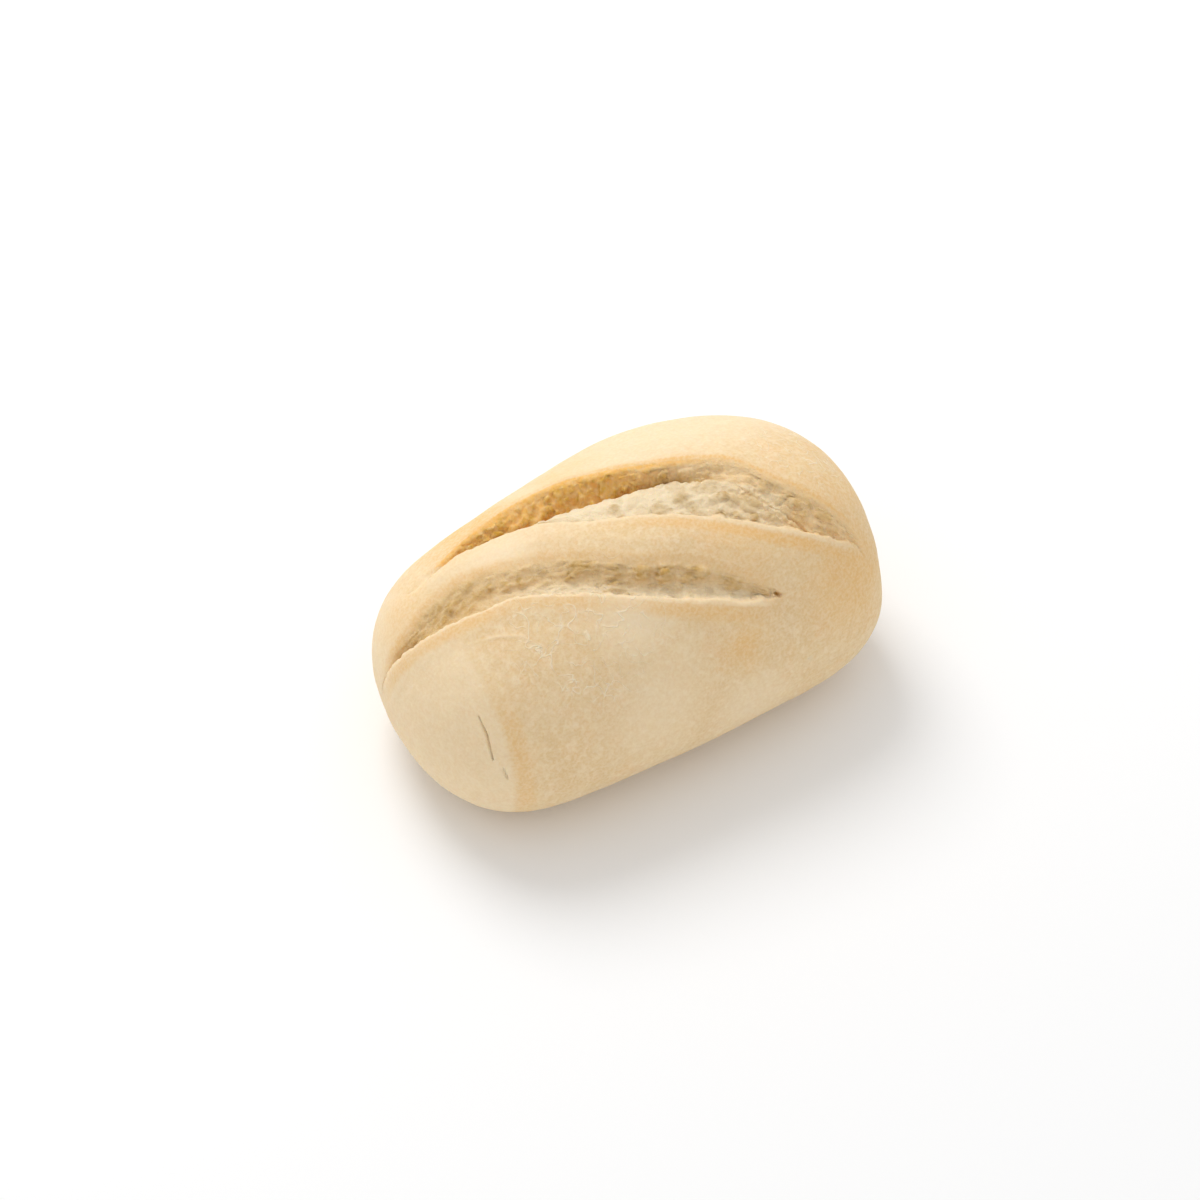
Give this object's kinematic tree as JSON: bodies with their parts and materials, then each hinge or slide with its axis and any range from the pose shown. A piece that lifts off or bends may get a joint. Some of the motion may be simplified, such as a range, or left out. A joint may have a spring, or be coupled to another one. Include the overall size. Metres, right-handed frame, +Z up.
{
  "type": "bread roll",
  "caption": "Small pale bread roll with a flat base, a domed cut end and slanting torn slashes across the top.",
  "frame": {"origin": "centre of the bounding box in plan, on the surface that the roll rests on", "axes": "+X along the roll to its round end, +Y to its back, +Z up; the front slash is nearer -Y"},
  "size_m": [0.0958, 0.0632, 0.0492],
  "materials": {
    "crust": "matte, lightly baked bread crust with torn white crumb in the slashes"
  },
  "bodies": {
    "root": {"bread_roll": "crust"}
  },
  "joints": []
}
